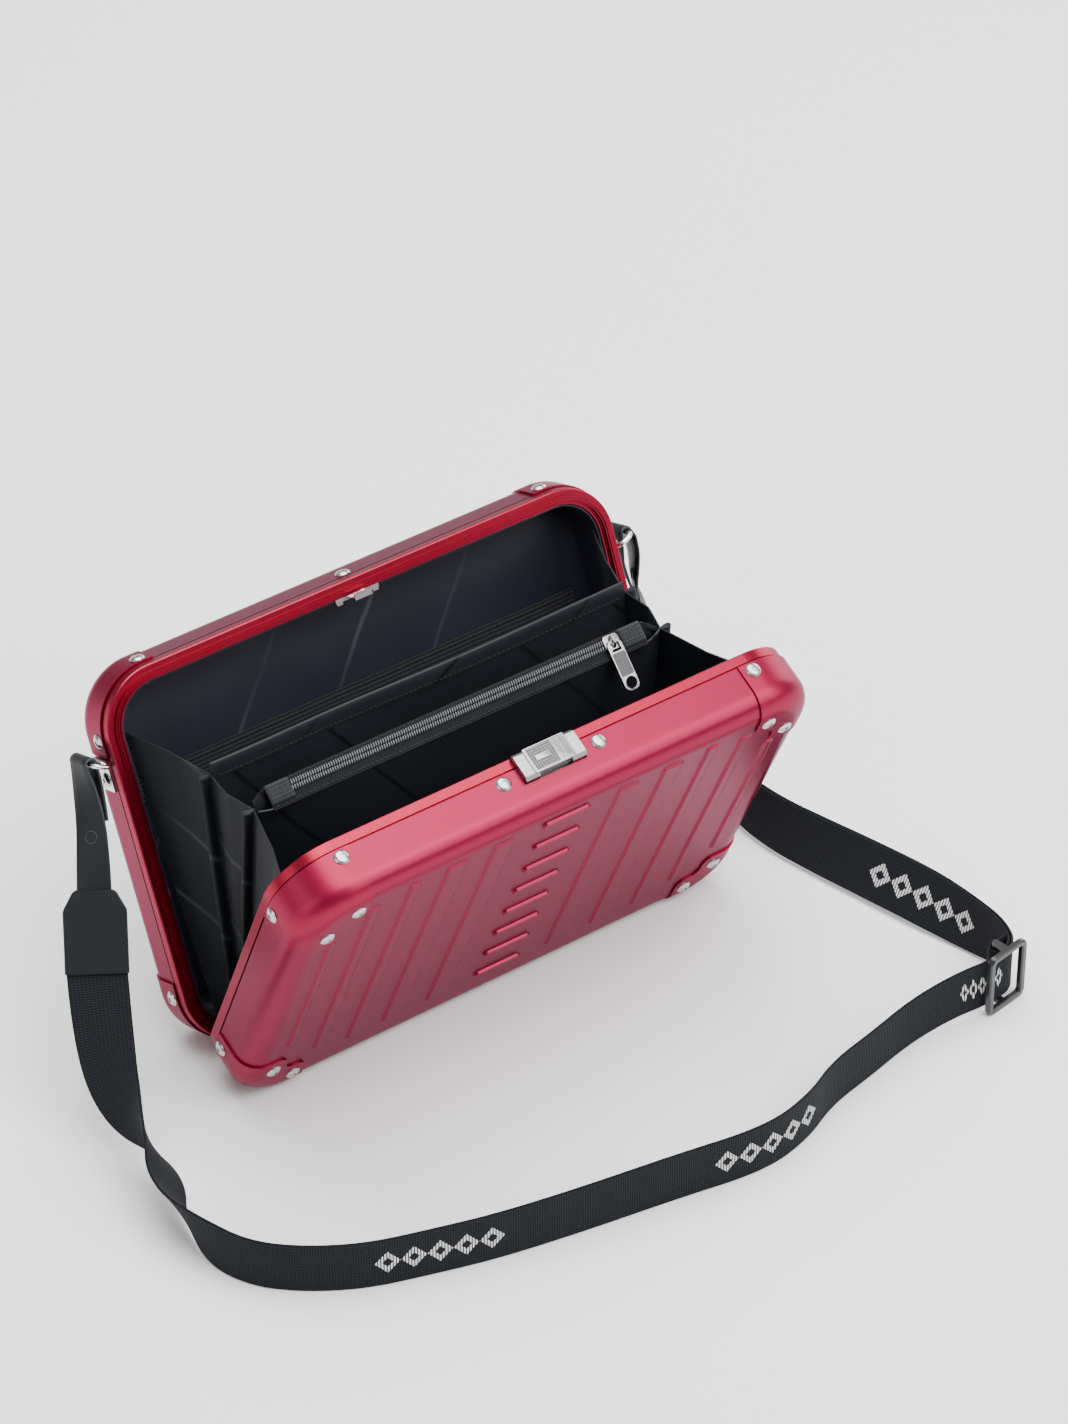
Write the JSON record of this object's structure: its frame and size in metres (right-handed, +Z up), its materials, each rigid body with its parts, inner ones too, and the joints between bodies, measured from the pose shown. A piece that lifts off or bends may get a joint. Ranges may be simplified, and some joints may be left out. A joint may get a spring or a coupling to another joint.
{
  "type": "vanity case",
  "caption": "Hard vanity case standing open: two ribbed metal half shells hinged at the foot, fabric accordion inside, adjustable shoulder strap.",
  "frame": {"origin": "on the surface the case stands on, under the hinge line, midway along it", "axes": "+X along the hinge to the wearer's right end of the picture, +Y to the back half, +Z up"},
  "size_m": [0.4499, 0.3235, 0.1963],
  "materials": {
    "red_shell": "satin anodised red with a fine brushed grain",
    "red_rim": "satin anodised red extrusion",
    "red_corner": "smooth satin red casting",
    "rivet_steel": "bright nickel",
    "hinge_steel": "satin red, like the rim",
    "lining_cloth": "smooth black nylon with thin diagonal stripes",
    "elastic": "ribbed black elastic",
    "zip_cloth": "woven black tape",
    "zip_nylon": "dark coil",
    "zip_metal": "gunmetal nickel",
    "chrome": "bright chrome",
    "latch_nickel": "satin nickel with a knurled middle",
    "webbing": "black ribbed webbing",
    "black_metal": "semi-gloss black",
    "strap_leather": "smooth black leather, slightly blue"
  },
  "bodies": {
    "back_half": {"back_shell": "red_shell", "back_rim": "red_rim", "back_corner_top_left": "red_corner", "back_corner_bottom_left": "red_corner", "back_corner_top_right": "red_corner", "back_corner_bottom_right": "red_corner", "back_rivets": "rivet_steel", "back_hinge_rivets": "rivet_steel", "back_hinge_leaf": "hinge_steel", "hinge_pin": "hinge_steel", "back_lining": "lining_cloth", "back_pocket": "lining_cloth", "elastic_band": "elastic", "catch": "chrome", "bracket_left": "chrome", "bracket_right": "chrome", "gusset_left": "lining_cloth", "gusset_right": "lining_cloth", "strap_webbing": "webbing", "strap_return": "webbing", "strap_lead": "webbing", "strap_loop": "black_metal", "strap_adjuster": "black_metal", "strap_tab_left": "strap_leather", "strap_tab_right": "strap_leather", "strap_end_left": "strap_leather", "strap_end_right": "strap_leather", "strap_studs": "rivet_steel"},
    "front_half": {"front_shell": "red_shell", "front_rim": "red_rim", "front_corner_top_left": "red_corner", "front_corner_bottom_left": "red_corner", "front_corner_top_right": "red_corner", "front_corner_bottom_right": "red_corner", "front_rivets": "rivet_steel", "front_hinge_rivets": "rivet_steel", "front_hinge_leaf": "hinge_steel", "front_lining": "lining_cloth", "latch_base": "latch_nickel", "latch_pin": "latch_nickel"},
    "latch_lever": {"latch_lever": "latch_nickel"},
    "ring_left": {"ring_left": "chrome"},
    "ring_right": {"ring_right": "chrome"},
    "divider": {"divider": "lining_cloth"},
    "zip_pocket": {"zip_pocket": "lining_cloth", "zip_tape": "zip_cloth", "zip_coil": "zip_nylon", "zip_ends": "zip_cloth"},
    "zip_slider": {"zip_slider": "zip_metal"},
    "zip_pull": {"zip_pull": "zip_metal"}
  },
  "joints": [
    {"name": "lid_hinge", "type": "hinge", "parent": "back_half", "child": "front_half", "pos_m": [0, 0, 0.01001], "axis": [-1, 0, 0], "range_deg": [0, 47.2], "deforming": ["gusset_left", "gusset_right"]},
    {"name": "divider_fold", "type": "hinge", "parent": "back_half", "child": "divider", "pos_m": [0, 0, 0.01001], "axis": [-1, 0, 0], "range_deg": [0, 24.3]},
    {"name": "pocket_fold", "type": "hinge", "parent": "back_half", "child": "zip_pocket", "pos_m": [0, 0, 0.01001], "axis": [-1, 0, 0], "range_deg": [0, 27.1]},
    {"name": "zip_slide", "type": "slide", "parent": "zip_pocket", "child": "zip_slider", "axis": [1, 0, 0], "range_m": [-0.183, 0]},
    {"name": "pull_swing", "type": "hinge", "parent": "zip_slider", "child": "zip_pull", "pos_m": [0.089, -0.01626, 0.1735], "axis": [-1, 0, 0], "range_deg": [0, 110]},
    {"name": "latch_lift", "type": "hinge", "parent": "front_half", "child": "latch_lever", "pos_m": [0, -0.09112, 0.18736], "axis": [1, 0, 0], "range_deg": [0, 35]},
    {"name": "ring_left_swing", "type": "hinge", "parent": "back_half", "child": "ring_left", "pos_m": [-0.15245, 0.07662, 0.14917], "axis": [0, 0.9164, -0.4003], "range_deg": [-90, 40], "deforming": ["strap_tab_left"]},
    {"name": "ring_right_swing", "type": "hinge", "parent": "back_half", "child": "ring_right", "pos_m": [0.15245, 0.07662, 0.14917], "axis": [0, -0.9164, 0.4003], "range_deg": [-90, 40], "deforming": ["strap_tab_right"]}
  ],
  "couplings": [
    {"joint": "divider_fold", "follows": "lid_hinge", "ratio": 0.51},
    {"joint": "pocket_fold", "follows": "lid_hinge", "ratio": 0.57}
  ]
}
